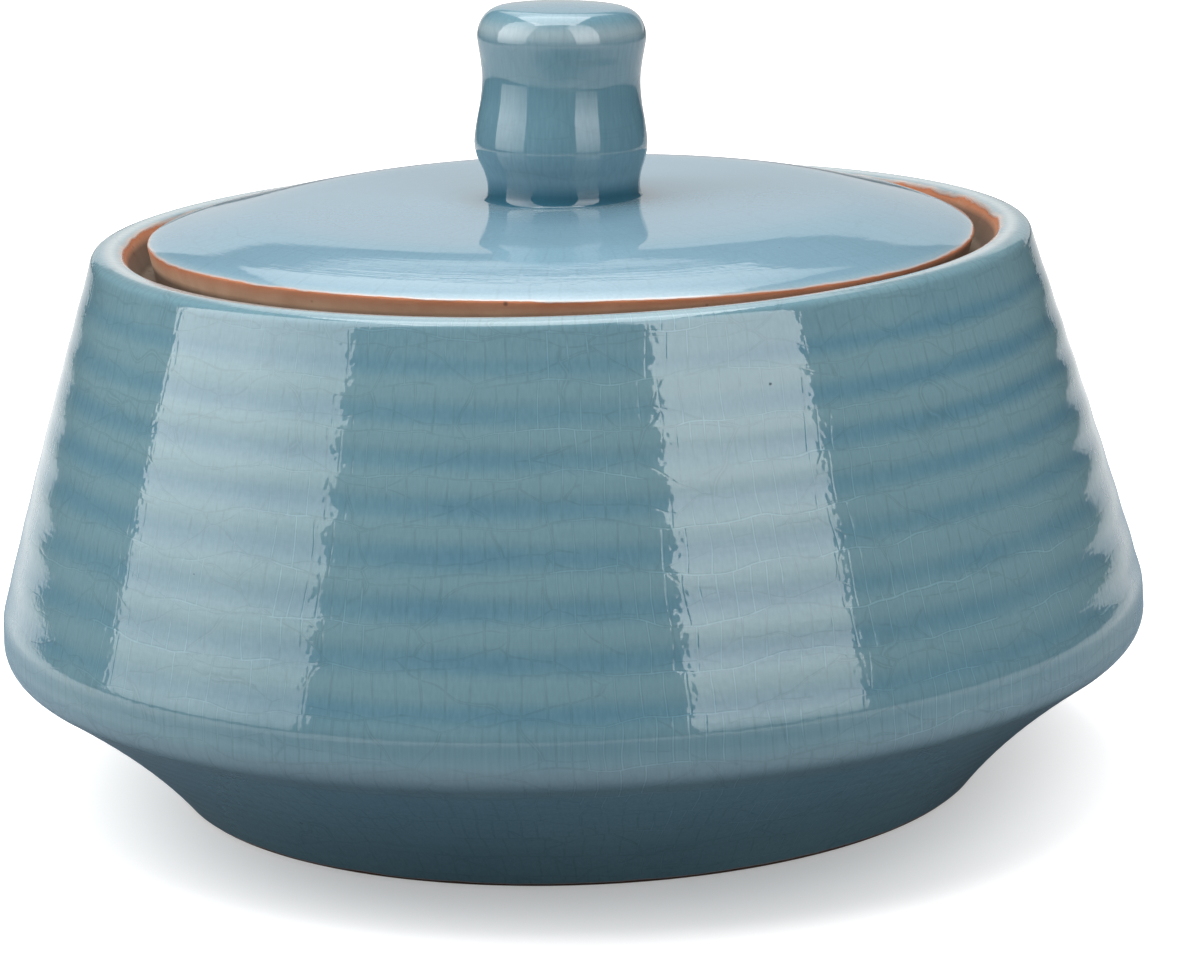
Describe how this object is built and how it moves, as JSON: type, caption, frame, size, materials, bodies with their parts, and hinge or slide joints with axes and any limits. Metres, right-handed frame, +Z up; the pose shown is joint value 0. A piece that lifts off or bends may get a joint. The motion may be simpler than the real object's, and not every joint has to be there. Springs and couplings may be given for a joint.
{
  "type": "lidded ceramic jar",
  "caption": "Squat glazed stoneware jar with throwing rings, a sharp belly, a drop-in lid on a gallery and a tall knob that lifts the lid.",
  "frame": {"origin": "centre of the foot ring, on the surface that the jar stands on", "axes": "+Z up along the axis that the jar was thrown on; the jar looks alike from every side, so +X is free"},
  "size_m": [0.15, 0.15, 0.1005],
  "materials": {
    "blue_glaze": "gloss crackle glaze over brown stoneware"
  },
  "bodies": {
    "jar": {"jar_body": "blue_glaze"},
    "lid": {"lid_plate": "blue_glaze", "lid_knob": "blue_glaze"}
  },
  "joints": [
    {"name": "lid_lift", "type": "slide", "parent": "jar", "child": "lid", "axis": [0, 0, 1], "range_m": [0, 0.1]}
  ]
}
